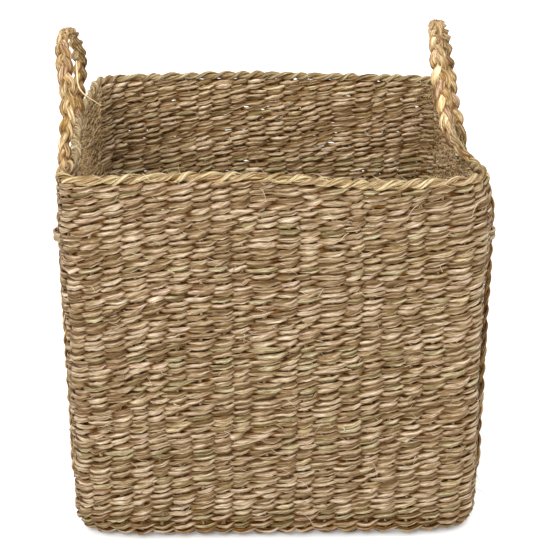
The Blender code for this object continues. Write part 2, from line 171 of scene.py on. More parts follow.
class Strands:
    """A batch of strands swept along paths, which becomes one object."""

    def __init__(self, sides, rng=None):
        self.sides = sides
        self.rng = rng
        self.verts, self.faces = [], []
        self.tint, self.fibre, self.seed = [], [], []
        self.count = 0

    def add(
        self,
        centre,
        facing,
        half_across,
        half_through,
        tint,
        seed,
        closed=False,
        twist=0.0,
        plies=0,
        depth=0.0,
        rough=0.0,
        exposed=None,
        square=1.0,
        far_side_painted_light=(1.0, 1.0, 1.0),
        open_sides=None,
    ):
        """Sweeps a section along each path of centre (tubes, points, 3).

        facing is the direction of the strand's flat side; tint is a colour for each point;
        twist is the turns per metre of the fibres; plies and depth groove the section;
        rough is the spread of each vertex's radius; exposed is 1 where the facing side is
        open to view and -1 where the far side is, and paints shade onto the other sides;
        square below 1 flattens the section's faces; far_side_painted_light paints light onto the
        far side; open_sides (points, sides) is 1 where a single strand's side is open and 0 where
        hidden, and paints shade onto the hidden sides and near the borders of the section.
        """
        tubes, points, _ = centre.shape
        shape = (tubes, points, self.sides)
        along = tangents(centre, closed)
        through = normalise(facing - along * (facing * along).sum(-1, keepdims=True))
        across = np.cross(through, along)
        angle = TAU * np.arange(self.sides) / self.sides
        steps = np.linalg.norm(np.diff(centre, axis=1), axis=-1)
        run = np.concatenate([np.zeros((tubes, 1)), np.cumsum(steps, axis=1)], axis=1)
        phase = np.broadcast_to(seed, (tubes, points))[:, :1]
        turned = angle[None, None] + (TAU * twist * run + phase)[..., None]
        radius = 1 + depth * np.cos(plies * turned)
        if rough:
            radius = radius * (1 + rough * self.rng.normal(size=shape))
        half_across = np.broadcast_to(half_across, (tubes, points))[..., None]
        half_through = np.broadcast_to(half_through, (tubes, points))[..., None]
        cos = np.sign(np.cos(angle)) * np.abs(np.cos(angle)) ** square
        sin = np.sign(np.sin(angle)) * np.abs(np.sin(angle)) ** square
        out = across[:, :, None] * (half_across * cos * radius)[..., None]
        out = out + through[:, :, None] * (half_through * sin * radius)[..., None]
        verts = centre[:, :, None] + out
        fibre = np.stack([np.cos(turned), np.sin(turned), np.broadcast_to(run[..., None], shape)], -1)
        self.verts.append(verts.reshape(-1, 3))
        self.faces.append(tube_faces(tubes, points, self.sides, closed) + self.count)
        self.fibre.append(fibre.reshape(-1, 3))
        tint = np.broadcast_to(tint, (tubes, points, 3))[:, :, None] * np.ones(shape + (1,))
        # Painted light: the far side of the strand is tinted lighter than the lamps leave it
        far = np.clip(0.3 - np.sin(angle), 0, 1)[:, None]
        tint = tint * (1 + (np.array(far_side_painted_light) - 1) * far)
        # Painted shade: the sides of the strand turned away from view are darkened towards the crevice
        # colour, and so is the strand where it crosses behind its neighbour
        if exposed is not None:
            exposed = np.broadcast_to(exposed, (tubes, points))[..., None]
            painted_lit = np.sin(angle) * np.sign(exposed)
            painted_lit = smoothstep((painted_lit - 0.05) / 0.85) * (0.70 + 0.30 * np.sqrt(np.abs(exposed)))
            tint = tint * (PAINTED_CREVICE_SHADE + (1 - PAINTED_CREVICE_SHADE) * painted_lit[..., None])
        # Painted shade: the sides of a braid strand that pass under the other strands, and the side borders
        # of its section, are darkened towards the crevice colour
        if open_sides is not None:
            painted_lit = smoothstep(open_sides)[None, ..., None]
            edges = np.abs(np.cos(angle))[:, None] ** 6
            tint = tint * (PAINTED_CREVICE_SHADE + (1 - PAINTED_CREVICE_SHADE) * painted_lit * (1 - 0.45 * edges))
        self.tint.append(tint.reshape(-1, 3))
        seed = np.broadcast_to(seed, (tubes, points))
        self.seed.append(np.broadcast_to(seed[..., None], shape).reshape(-1))
        self.count += verts.size // 3

    def build(self, name, material):
        tint = np.concatenate(self.tint)
        tint = np.concatenate([tint, np.ones((len(tint), 1))], axis=1)
        attributes = {
            "tint": ("FLOAT_COLOR", tint),
            "fibre": ("FLOAT_VECTOR", np.concatenate(self.fibre)),
            "seed": ("FLOAT", np.concatenate(self.seed)),
        }
        verts, faces = np.concatenate(self.verts), np.concatenate(self.faces)
        return make_object(name, verts, faces, material, attributes)


def smooth_field(rng, round_cycles, up_cycles, terms=24):
    """Random smooth function of (u, height) that closes on itself round the basket.

    u is counted in stakes and height in metres; its values have a spread of about one.
    """
    cycles = rng.integers(1, round_cycles + 1, terms)
    rises = rng.uniform(-up_cycles, up_cycles, terms)
    phases = rng.uniform(0, TAU, terms)
    size = rng.uniform(0.5, 1.0, terms)
    size = size / math.sqrt((size**2).sum() / 2)

    def field(u, height):
        total = np.zeros(np.broadcast(u, height).shape)
        for cycle, rise, phase, amount in zip(cycles, rises, phases, size):
            total += amount * np.cos(TAU * (cycle * u / STAKES_ROUND + rise * height / RIM_TOP) + phase)
        return total

    return field


# ---------------------------------------------------------------- shape of the basket


def curl_in(points):
    """Moves points of a straight-sided basket to where its curled right wall is."""
    x, y, z = points[..., 0], points[..., 1], points[..., 2]
    height = np.clip((z - CURL_FROM) / (RIM_TOP - CURL_FROM), 0, None) ** 2
    along = (1 - np.minimum(1, np.abs(y) / HALF) ** 4) * (1 - CURL_SKEW * y / HALF)
    moved = points.copy()
    moved[..., 0] = x - CURL * along * height * np.maximum(0, x) / HALF
    return moved


# How far the soft weave sags and leans from the stiff CAD walls
LEFT_LOW_IN = 2.5 * MM  # the left front's lower half, inwards
LEFT_TOP_OUT = 1.0 * MM  # the left front's top, outwards
RIGHT_LOW_OUT = 1.5 * MM  # the right front below its top, outwards
CORNER_SPREAD = 1.0 * MM  # the bottom corners, sideways
CORNER_DRAW = 4.0 * MM  # the bottom corners, from the front and back towards the middle
BELLY = 7.5 * MM  # the lowest rows between the corners, out to the front and back
RIGHT_TOP_BACK = 7.0 * MM  # the top of the right front corner, backwards


def settle(points):
    """Sags and leans of the soft weave that the stiff CAD walls leave out."""
    x, y, z = points[..., 0], points[..., 1], points[..., 2]
    left, right = smoothstep((-x - 0.11) / 0.08), smoothstep((x - 0.11) / 0.08)
    front = smoothstep((-y - 0.02) / 0.15)
    low = smoothstep((0.25 - z) / 0.15)
    high = np.clip((z - 0.29) / 0.086, 0, 1) ** 1.5
    foot = np.clip((0.07 - z) / 0.07, 0, 1) ** 2
    corner = smoothstep((np.abs(x) - 0.13) / 0.06) * smoothstep((np.abs(y) - 0.13) / 0.06)
    moved = points.copy()
    moved[..., 0] += left * front * (LEFT_LOW_IN * low - LEFT_TOP_OUT * high)
    moved[..., 0] += np.sign(x) * CORNER_SPREAD * corner * foot
    moved[..., 1] -= np.sign(y) * CORNER_DRAW * corner * foot
    moved[..., 0] += right * front * RIGHT_LOW_OUT * (1 - high)
    belly = np.clip((22 * MM - z) / (18 * MM), 0, 1) * (1 - corner) * smoothstep((np.abs(y) - 0.15) / 0.02)
    moved[..., 1] += np.sign(y) * BELLY * belly
    moved[..., 1] += RIGHT_TOP_BACK * high * right * smoothstep((-y - 0.13) / 0.05)
    return moved


PULL = 8.0 * MM  # how far the top of the left wall is drawn in
PULL_AT = -0.125  # where along Y it is drawn in most
PULL_REACH = 0.045


def pull_in(points):
    """Draws the top of the left wall inwards where the handle's front leg tugs at it."""
    x, y, z = points[..., 0], points[..., 1], points[..., 2]
    near = np.exp(-(((y - PULL_AT) / PULL_REACH) ** 4))
    high = np.clip((z - 0.315) / 0.060, 0, 1) ** 1.5
    moved = points.copy()
    moved[..., 0] += PULL * near * high * smoothstep((-x - 0.11) / 0.08)
    return moved


def plan_point(u, inset):
    """Plan position and outward direction on the wall's middle line, drawn in by inset."""
    side = np.floor(u / SIDE_STEPS)
    step = u - SIDE_STEPS * side
    straight = STAKES_PER_SIDE - 1
    alpha = np.clip((step - straight) / (SIDE_STEPS - straight), 0, 1) * math.pi / 2
    radius = CORNER - inset
    x = FLAT + radius * np.cos(alpha)
    y = np.minimum(step * STAKE_PITCH - FLAT, FLAT) + radius * np.sin(alpha)
    turn = side * math.pi / 2
    cos, sin = np.cos(turn), np.sin(turn)
    place = np.stack([x * cos - y * sin, x * sin + y * cos], -1)
    outward = np.stack([np.cos(alpha + turn), np.sin(alpha + turn)], -1)
    return place, outward


def rim_wave(u):
    """How far the soft rim rises and dips round the basket; the front left corner is u = 57."""
    stakes = [0, 9, 18, 28, 37, 47, 56, 60, 64, 67, 70, 74, 76]
    rises = [0, -1, -3, 2, -2, 0, 0, 2.5, 3, 0, -3.5, -1, 0]
    return np.interp(u % STAKES_ROUND, stakes, rises) * MM


bulge_field = smooth_field(generator(1), 7, 1.2)
dent_field = smooth_field(generator(2), 30, 5.0)
wander_field = smooth_field(generator(3), 34, 1.6, terms=40)
row_field = smooth_field(generator(4), 14, 1.5)
BULGE = 1.6 * MM  # spread of the wall's broad swellings
DENT = 0.5 * MM  # spread of its small dents
ROW_WAVE = 1.3 * MM  # spread of how far the rows rise and dip
WANDER = 0.085  # spread of how far the uprights stray, in stakes


def row_height(row):
    """Height of a row's middle above the heel's top; rows below that follow the heel."""
    return HEEL_TOP + (row - HEEL_ROWS) * ROW_PITCH


def heel_angle(share):
    """The angle at an even share of the way round the heel, from the wall to the base."""
    angles = np.linspace(0, math.pi / 2, 200)
    curve = np.stack([np.cos(angles) ** HEEL_SQUARE, np.sin(angles) ** HEEL_SQUARE], axis=1)
    run = np.concatenate([[0], np.cumsum(np.linalg.norm(np.diff(curve, axis=0), axis=1))])
    return np.interp(share * run[-1], run, angles)


def wall_frame(u, row):
    """Position, outward normal and upward direction on the wall's middle surface."""
    u = u % STAKES_ROUND
    height = np.maximum(row_height(row), 0)
    ends = np.abs(np.sin(math.pi * (u - STAKES_PER_SIDE / 2) / (2 * SIDE_STEPS)))
    ends = np.clip((ends - 0.5) / 0.42, 0, 1)
    floor = FLOOR_SIDES + (HEEL_ENDS - FLOOR_SIDES) * ends
    beta = heel_angle(np.clip(1 - row / HEEL_ROWS, 0, 1))
    heel = HEEL_TOP - floor
    inset = heel * (1 - np.cos(beta) ** HEEL_SQUARE)
    z = np.where(row < HEEL_ROWS, HEEL_TOP - heel * np.sin(beta) ** HEEL_SQUARE, height)
    place, outward = plan_point(u, inset)
    up_wall = np.clip((z - HEEL_TOP) / (RIM_TOP - HEEL_TOP), 0, 1)
    normal = np.concatenate([outward * np.cos(beta)[..., None], -np.sin(beta)[..., None]], -1)
    upward = np.concatenate([outward * np.sin(beta)[..., None], np.cos(beta)[..., None]], -1)
    bulge = BULGE * bulge_field(u, z) * np.sqrt(up_wall)
    bulge = bulge + DENT * dent_field(u, z) * np.minimum(1, 8 * up_wall)
    wave = rim_wave(u) * up_wall + ROW_WAVE * row_field(u, z) * np.sin(math.pi * up_wall)
    point = np.concatenate([place, (z + wave)[..., None]], -1) + normal * bulge[..., None]
    return curl_in(settle(pull_in(point))), normal, upward


def wander(u, row):
    """How far, in stakes, the uprights stray sideways at a height."""
    z = np.maximum(row_height(row), 0)
    up_wall = np.clip((z - HEEL_TOP) / (RIM_TOP - HEEL_TOP), 0, 1)
    return WANDER * wander_field(u, z) * np.minimum(1, 6 * up_wall)


# ---------------------------------------------------------------- colours


def colour(red, green, blue):
    """Linear colour from a display colour of 0 to 255."""
    values = np.array([red, green, blue]) / 255
    return np.where(values <= 0.04045, values / 12.92, ((values + 0.055) / 1.055) ** 2.4)


GRASS = np.array([
    colour(181, 164, 141),
    colour(176, 159, 134),
    colour(166, 148, 121),
    colour(187, 172, 150),
    colour(168, 158, 128),
    colour(178, 158, 137),
    colour(158, 139, 111),
    colour(182, 167, 136),
])
FUZZ_TINT_AND_PAINTED_LIGHT = np.array([1.66, 1.44, 1.00])  # how the fuzz inside differs from the strands: partly its own paler, yellower tint and partly painted light that lifts the shaded inside walls
GRASS_SHARE = np.array([0.24, 0.24, 0.17, 0.12, 0.08, 0.05, 0.06, 0.04])
STRAW = np.array([
    colour(194, 168, 126),
    colour(179, 152, 110),
    colour(206, 186, 149),
    colour(160, 132, 94),
    colour(190, 165, 112),
    colour(179, 152, 124),
])
STRAW_SHARE = np.array([0.28, 0.24, 0.16, 0.14, 0.10, 0.08])
RIM_GRASS = np.array([
    colour(188, 173, 136),
    colour(180, 163, 127),
    colour(192, 178, 143),
    colour(172, 155, 119),
    colour(179, 160, 131),
])


def run_values(rng, tubes, points, shortest, longest, draw):
    """Values that stay the same along random stretches of each tube."""
    rows = []
    for _ in range(tubes):
        row = []
        while len(row) < points:
            row += [draw()] * int(rng.integers(shortest, longest))
        rows.append(row[:points])
    return np.array(rows)


# ---------------------------------------------------------------- materials


def seagrass_material(name, streak_depth, bump_height, roughness, plies=0, groove=0.0, grain=1.0):
    """Dry grass strand: plies, fibre streaks along it, blotches, painted shade in the grooves
    between plies, a browner tint where streaks and painted shade are darkest, and a fibrous bump.

    streak_depth and groove are how dark the streaks and the painted shade in the lines between
    plies get; grain scales how many fibres there are round the strand.
    """
    material = bpy.data.materials.new(name)
    material.use_nodes = True
    nodes, links = material.node_tree.nodes, material.node_tree.links
    shader = nodes["Principled BSDF"]

    def node(kind, **settings):
        made = nodes.new(kind)
        for key, value in settings.items():
            setattr(made, key, value)
        return made

    def noise(vector, w, detail, rough=0.6):
        made = node("ShaderNodeTexNoise", noise_dimensions="4D")
        links.new(vector, made.inputs["Vector"])
        links.new(w, made.inputs["W"])
        made.inputs["Scale"].default_value = 1.0
        made.inputs["Detail"].default_value = detail
        made.inputs["Roughness"].default_value = rough
        return made.outputs["Fac"]

    def remap(value, low, high, to_low, to_high):
        made = node("ShaderNodeMapRange")
        links.new(value, made.inputs["Value"])
        labels = ("From Min", "From Max", "To Min", "To Max")
        for label, number in zip(labels, (low, high, to_low, to_high)):
            made.inputs[label].default_value = number
        return made.outputs["Result"]

    def maths(operation, first, second):
        made = node("ShaderNodeMath", operation=operation)
        for socket, value in zip(made.inputs, (first, second)):
            if isinstance(value, (int, float)):
                socket.default_value = value
            else:
                links.new(value, socket)
        return made.outputs["Value"]

    def scaled(vector, scale):
        made = node("ShaderNodeVectorMath", operation="MULTIPLY")
        links.new(vector, made.inputs[0])
        made.inputs[1].default_value = scale
        return made.outputs["Vector"]

    def multiply(factor, first, second):
        made = node("ShaderNodeMix", data_type="RGBA", blend_type="MULTIPLY")
        sockets = (made.inputs["Factor"], made.inputs[6], made.inputs[7])
        for socket, value in zip(sockets, (factor, first, second)):
            if isinstance(value, (float, tuple)):
                socket.default_value = value
            else:
                links.new(value, socket)
        return made.outputs[2]

    fibre = node("ShaderNodeAttribute", attribute_name="fibre").outputs["Vector"]
    seed = node("ShaderNodeAttribute", attribute_name="seed").outputs["Fac"]
    tint = node("ShaderNodeAttribute", attribute_name="tint").outputs["Color"]

    streaks = noise(scaled(fibre, (1.5 * grain, 1.5 * grain, 45.0)), seed, 2.0)
    fine = noise(scaled(fibre, (3.6 * grain, 3.6 * grain, 110.0)), seed, 3.0, 0.7)
    blotches = noise(scaled(fibre, (0.5, 0.5, 90.0)), seed, 2.0)

    low = 1.0 - streak_depth
    coarse = remap(streaks, 0.38, 0.60, low, 1.08)
    shade = maths("MULTIPLY", coarse, remap(fine, 0.36, 0.60, low - 0.06, 1.12))
    shade = maths("MULTIPLY", shade, remap(blotches, 0.32, 0.68, 0.94, 1.06))
    height = maths("ADD", streaks, maths("MULTIPLY", fine, 0.5))
    if plies:
        split = node("ShaderNodeSeparateXYZ")
        links.new(fibre, split.inputs["Vector"])
        turned = maths("MULTIPLY", maths("ARCTAN2", split.outputs["Y"], split.outputs["X"]), float(plies))
        ply = maths("COSINE", maths("ADD", turned, maths("MULTIPLY", streaks, 2.5)), 0.0)
        # Painted shade: the grooves between the plies are darkened
        shade = maths("MULTIPLY", shade, remap(ply, -1.0, -0.3, 1.0 - groove, 1.0))
        height = maths("ADD", height, remap(ply, -1.0, 0.2, -0.9, 0.0))

    grey = node("ShaderNodeCombineColor")
    for channel in ("Red", "Green", "Blue"):
        links.new(shade, grey.inputs[channel])
    toned = multiply(1.0, tint, grey.outputs["Color"])
    # Browner tint where the grass's own streaks and the painted shade of the ply grooves are darkest; it
    # stands in for the warmer colour that shade takes on
    grain_and_shade_browned = multiply(remap(shade, 0.95, 0.35, 0.0, 1.0), toned, (0.86, 0.64, 0.36, 1.0))
    links.new(grain_and_shade_browned, shader.inputs["Base Color"])

    rough = remap(fine, 0.2, 0.8, roughness - 0.1, roughness + 0.12)
    links.new(rough, shader.inputs["Roughness"])
    shader.inputs["Specular IOR Level"].default_value = 0.12

    bump = node("ShaderNodeBump")
    bump.inputs["Strength"].default_value = 0.85
    bump.inputs["Distance"].default_value = bump_height
    links.new(height, bump.inputs["Height"])
    links.new(bump.outputs["Normal"], shader.inputs["Normal"])
    return material


MATERIALS = {
    "weft": seagrass_material("seagrass_weft_strands", 0.46, 1.4 * MM, 0.70, plies=2, groove=0.62),
    "base": seagrass_material("seagrass_base_strands", 0.46, 1.4 * MM, 0.72, plies=2, groove=0.62),
    "stake": seagrass_material("seagrass_stake_rope", 0.45, 0.9 * MM, 0.76, plies=2, groove=0.50),
    "rim": seagrass_material("seagrass_rim_rope", 0.44, 0.9 * MM, 0.68, grain=0.8),
    "braid": seagrass_material("seagrass_handle_braid", 0.58, 1.2 * MM, 0.58, grain=1.15),
    "lashing": seagrass_material("seagrass_lashing_strands", 0.44, 1.0 * MM, 0.68, plies=2, groove=0.40),
    "whisker": seagrass_material("seagrass_loose_fibres", 0.25, 0.1 * MM, 0.6, grain=0.5),
}


def finish_piece(obj, body, slot, *nodes):
    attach(obj, body)
    if nodes:
        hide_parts(*nodes)


# ---------------------------------------------------------------- walls

WEFT_STEPS = 6  # points of a strand between one stake and the next
WEFT_SIDES = 8
WEFT_BANDS = 8
WEFT_OUT = 3.0 * MM  # how far a strand's middle stands off the stake
WEFT_RISE = 1.9 * MM  # how far it climbs or drops where the two strands cross
WEFT_SLOPE = 0.08  # 1 makes a strand climb evenly; less keeps it level across each stake
WEFT_HALF_WIDTH = 3.1 * MM
WEFT_HALF_THICKNESS = 1.75 * MM
WEFT_TWIST = 3.0  # turns of a strand's own fibres per metre


def make_walls():
    rng = generator(10)
    points = STAKES_ROUND * WEFT_STEPS
    u = np.arange(points) / WEFT_STEPS
    stake = np.arange(STAKES_ROUND + 1)

    def per_stake(count):
        values = rng.normal(size=(count, STAKES_ROUND))
        closed = np.concatenate([values, values[:, :1]], axis=1)
        return np.array([np.interp(u, stake, row) for row in closed])

    for band in range(WEFT_BANDS):
        first = ROWS * band // WEFT_BANDS
        last = ROWS * (band + 1) // WEFT_BANDS
        count = last - first
        rows = np.repeat(np.arange(first, last), 2)
        tubes = len(rows)
        early = np.repeat(np.clip(0.17 * per_stake(count), -0.34, 0.34), 2, axis=0)
        lift = np.repeat(0.05 * per_stake(count), 2, axis=0)
        turn = math.pi * (u[None] + early + np.arange(tubes)[:, None] % 2)
        row = rows[:, None] + 0.5 + lift + 0.06 * per_stake(tubes)
        place, normal, upward = wall_frame(u[None] + wander(u[None], row), row)
        out = WEFT_OUT * (1 + 0.12 * per_stake(tubes))
        rise = WEFT_RISE * (1 + 0.30 * per_stake(tubes))
        climb = rise * (WEFT_SLOPE * np.sin(turn) + (1 - WEFT_SLOPE) * np.sin(turn) ** 3)
        centre = place + normal * (out * np.cos(turn))[..., None] + upward * climb[..., None]
        fat = np.abs(np.cos(turn))
        size = np.repeat(run_values(rng, tubes, STAKES_ROUND, 3, 14, rng.normal), WEFT_STEPS, axis=1)
        size = 1 + 0.06 * size + 0.09 * per_stake(tubes)
        half_width = WEFT_HALF_WIDTH * np.clip(size, 0.86, 1.26) * (0.70 + 0.30 * fat)
        half_thick = WEFT_HALF_THICKNESS * np.clip(size, 0.75, 1.2) * (0.86 + 0.14 * fat)
        pick = run_values(rng, tubes, STAKES_ROUND, 4, 18, lambda: rng.choice(len(GRASS), p=GRASS_SHARE))
        tone = np.repeat(1 + 0.03 * rng.normal(size=(tubes, STAKES_ROUND)), WEFT_STEPS, axis=1)
        tint = np.repeat(GRASS[pick], WEFT_STEPS, axis=1) * tone[..., None]
        seed = np.repeat(rng.uniform(0, 400, (tubes, 1)), points, axis=1)
        strands = Strands(WEFT_SIDES, rng)
        strands.add(
            centre,
            normal,
            half_width,
            half_thick,
            tint,
            seed,
            closed=True,
            twist=WEFT_TWIST,
            plies=2,
            depth=0.10,
            rough=0.09,
            # Painted shade on the sides of the strands hidden behind the stakes and each other
            exposed=np.cos(turn),
            square=0.72,
            # Painted light on the strands' inner sides, so that the inside of the basket, which the lamps
            # leave in shade, comes out lighter
            far_side_painted_light=(1.48, 1.46, 1.40),
        )
        obj = strands.build(f"wall_weft_band_{band + 1}", MATERIALS["weft"])
        finish_piece(obj, "basket", "seagrass_weft", "wall_weft")


# ---------------------------------------------------------------- base

BASE_STEPS = 3  # points of a strand between one stake and the next
BASE_SIDES = 5
BASE_ROW_PITCH = 6.1 * MM
BASE_MARGIN = 30 * MM  # from the wall's outside to the first row of the base


def make_base():
    """Two layers of twined rows: one round the stakes along X, one round those along Y."""
    rng = generator(20)
    reach = HALF - BASE_MARGIN
    rows = int(2 * reach / BASE_ROW_PITCH)
    points = (STAKES_PER_SIDE + 1) * BASE_STEPS + 1
    u = np.arange(points) / BASE_STEPS
    along = (u - (STAKES_PER_SIDE + 1) / 2) * STAKE_PITCH * 0.94
    for name, height, swap in (("lower", FLOOR_SIDES, True), ("upper", FLOOR_ENDS, False)):
        tubes = 2 * rows
        row = np.repeat(np.arange(rows), 2)
        across = (row - (rows - 1) / 2) * BASE_ROW_PITCH
        turn = math.pi * (u[None] + 0.5) + math.pi * (np.arange(tubes) % 2)[:, None]
        drift = 0.5 * MM * np.sin(u[None] * 0.9 + row[:, None] * 0.35 + rng.uniform(0, TAU))
        side = across[:, None] + 1.5 * MM * np.sin(turn) + drift
        lift = height + 2.6 * MM * np.cos(turn)
        run = np.broadcast_to(along, (tubes, points))
        parts = (side, run, lift) if swap else (run, side, lift)
        centre = np.stack(parts, -1)
        facing = np.broadcast_to(np.array([0.0, 0.0, 1.0]), centre.shape)
        fat = np.abs(np.cos(turn))
        pick = run_values(rng, tubes, points, 16, 60, lambda: rng.choice(len(GRASS), p=GRASS_SHARE))
        tint = GRASS[pick] * (0.92 + 0.06 * rng.normal(size=(tubes, points)))[..., None]
        seed = np.repeat(rng.uniform(0, 400, (tubes, 1)), points, axis=1)
        strands = Strands(BASE_SIDES)
        width = 2.8 * MM * (0.6 + 0.4 * fat)
        # exposed paints shade onto the sides of the strands hidden under their neighbours
        strands.add(centre, facing, width, 1.4 * MM, tint, seed, twist=WEFT_TWIST, exposed=np.cos(turn))
        obj = strands.build(f"base_weft_{name}_layer", MATERIALS["base"])
        finish_piece(obj, "basket", "seagrass_base", "base_weft")


# ---------------------------------------------------------------- stakes

STAKE_SIDES = 8
STAKE_RADIUS = 2.1 * MM


def upright_path(u):
    """The line of one stake up the wall, from the heel's bottom to under the rim."""
    row = np.concatenate([np.linspace(0, HEEL_ROWS, 8), np.linspace(HEEL_ROWS, ROWS - 0.4, 44)[1:]])
    stake = np.full_like(row, float(u))
    place, normal, _ = wall_frame(stake + wander(stake, row), row)
    return place, normal


def add_stake(path, facing, rng, strands):
    tint = GRASS[6] * 0.8
    count = len(path)
    lumps = 1 + 0.06 * np.sin(np.arange(count) * 2.4)
    seed = np.full((1, count), rng.uniform(0, 400))
    radius = STAKE_RADIUS * lumps
    strands.add(path[None], facing[None], radius, radius, tint, seed, twist=40.0, plies=2, depth=0.12)


def make_stakes():
    """Rope stakes: up one wall, across the base and up the other, and one in each corner."""
    rng = generator(30)
    last = STAKES_PER_SIDE - 1
    for number in range(STAKES_PER_SIDE):
        ends = {
            "x": (2 * SIDE_STEPS + last - number, number, FLOOR_SIDES, 0),
            "y": (3 * SIDE_STEPS + number, SIDE_STEPS + last - number, FLOOR_ENDS, 1),
        }
        for letter, (start, stop, height, axis) in ends.items():
            down, out_down = upright_path(start)
            rising, out_up = upright_path(stop)
            middle = np.linspace(down[0], rising[0], 32)[1:-1]
            middle[:, 2] = height
            floor_facing = np.tile([0.0, 0.0, -1.0], (len(middle), 1))
            path = np.concatenate([down[::-1], middle, rising])
            facing = np.concatenate([out_down[::-1], floor_facing, out_up])
            strands = Strands(STAKE_SIDES)
            add_stake(path, facing, rng, strands)
            obj = strands.build(f"rope_stake_{letter}_{number + 1:02d}", MATERIALS["stake"])
            finish_piece(obj, "basket", "seagrass_stake", f"stake_{letter}_{number + 1:02d}")
    corners = {"back_right": 0, "back_left": 1, "front_left": 2, "front_right": 3}
    for name, side in corners.items():
        path, facing = upright_path(SIDE_STEPS * side + STAKES_PER_SIDE)
        strands = Strands(STAKE_SIDES)
        add_stake(path, facing, rng, strands)
        obj = strands.build(f"rope_corner_stake_{name}", MATERIALS["stake"])
        finish_piece(obj, "basket", "seagrass_stake", f"corner_stake_{name}")


# ---------------------------------------------------------------- rim

RIM_TURNS = 41
RIM_OFFSET = 2.2 * MM
RIM_ABOVE_WALL = 4.0 * MM  # from the last row up to the rim's middle line
RIM_BLADES = 5
RIM_STEPS = 16  # points of a strand in each of its turns


def rim_path(count):
    """The rim's middle line all the way round, with its outward direction."""
    u = np.arange(count) / count * STAKES_ROUND
    place, normal, _ = wall_frame(u, np.full(count, float(ROWS)))
    return place + np.array([0, 0, RIM_ABOVE_WALL]), normal


def make_rim():
    """Two strands twisted into a rope, each strand a bundle of blades."""
    rng = generator(40)
    count = RIM_TURNS * RIM_STEPS
    place, outward = rim_path(count)
    upward = np.broadcast_to(np.array([0.0, 0.0, 1.0]), place.shape)
    step = np.arange(count) / count

    def waves(low, high):
        return np.sin(TAU * rng.integers(low, high) * step + rng.uniform(0, TAU))

    slow = 0.6 * waves(3, 6) + 0.5 * waves(7, 12) + 0.35 * waves(15, 30)
    for letter, phase in (("a", 0.0), ("b", math.pi)):
        strands = Strands(8, rng)
        turn = TAU * RIM_TURNS * step + slow + phase + 0.25 * waves(20, 40)
        radial = outward * np.cos(turn)[:, None] + upward * np.sin(turn)[:, None]
        beside = -outward * np.sin(turn)[:, None] + upward * np.cos(turn)[:, None]
        away = RIM_OFFSET * (1 + 0.12 * waves(20, 50))
        for blade in range(RIM_BLADES):
            spin = TAU * (blade / RIM_BLADES - 10 * step) + 0.5 * waves(8, 30)
            reach = 1.45 * MM * (1 + 0.18 * waves(5, 17) + 0.15 * waves(20, 50))
            off = radial * np.cos(spin)[:, None] + beside * np.sin(spin)[:, None]
            centre = place + radial * away[:, None] + off * reach[:, None]
            pick = run_values(rng, 1, count, 10, 40, lambda: rng.integers(len(RIM_GRASS)))
            tone = 1 + 0.06 * run_values(rng, 1, count, 6, 20, rng.normal)
            size = 1 + 0.12 * waves(9, 30) + 0.12 * waves(30, 60)
            seed = np.full((1, count), rng.uniform(0, 400))
            # Painted shade: the blades are darkened where they turn into the rope, away from view
            outside = 0.15 + 0.85 * np.clip(np.cos(spin), 0, 1)
            strands.add(
                centre[None],
                off[None],
                1.65 * MM * size,
                1.3 * MM * size,
                RIM_GRASS[pick] * tone[..., None],
                seed,
                closed=True,
                rough=0.05,
                exposed=outside,
            )
        obj = strands.build(f"rim_rope_strand_{letter}", MATERIALS["rim"])
        finish_piece(obj, "basket", "seagrass_rim", f"rim_strand_{letter}")


# ---------------------------------------------------------------- handles

# Per handle. sign is its side of the basket, and height is the loop's above its hinge. foot,
# lean, bow, turn and skew move the loop along X: foot all of it, lean its top, bow the middle
# of its legs, turn one leg against the other and skew the same near the top only. off is how
# far the middle of the strap stands off the wall. size scales the braid's width, and waist is
# the share by which the front leg narrows near the rim.
HANDLES = {
    "left": {
        "sign": -1,
        "height": 91.5 * MM,
        "foot": 5.5 * MM,
        "lean": -1 * MM,
        "bow": 7.2 * MM,
        "turn": 1.5 * MM,
        "skew": 2.6 * MM,
        "off": 2.4 * MM,
        "size": 0.82,
        "waist": 0.12,
    },
    "right": {
        "sign": 1,
        "height": 99 * MM,
        "foot": -11.5 * MM,
        "lean": -17.5 * MM,
        "bow": 2.8 * MM,
        "turn": -12 * MM,
        "skew": -5 * MM,
        "off": 4.8 * MM,
        "size": 0.90,
        "waist": 0.45,
    },
}
LOOP_ROUNDNESS = 2.4  # exponent of the loop's superellipse; 2 is a true ellipse
LOOP_TURN_RATE = 2.2  # how soon, off the loop's middle, its turn is complete
TWIST_FROM = -44 * MM  # height above the hinge where the braid starts to turn off the wall
TWIST_LENGTH = 30 * MM  # length of braid over which it makes its quarter turn
LOOP_FROM = 0.10  # share of the loop's height below which the braid eases into the strap
STRAP_TO = 22 * MM  # how far below the hinge the strap starts to ease into the loop
BRAID_PERIOD = 47 * MM
BRAID_SWING = 4.2 * MM  # how far a strand swings across the braid
BRAID_LIFT = 2.2 * MM  # how far it rises and dips through it
BRAID_HALF_WIDTH = 4.9 * MM
BRAID_SIDES = 26
BRAID_BLADES = 6
BRAID_STEP = 1.6 * MM


def strap_places(side):
    """Y of the front and back legs, and the straps' lowest point."""
    front_low, front_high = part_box(f"{side}_front_strap")
    back_low, back_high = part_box(f"{side}_back_strap")
    return (front_low[1] + front_high[1]) / 2, (back_low[1] + back_high[1]) / 2, front_low[2]


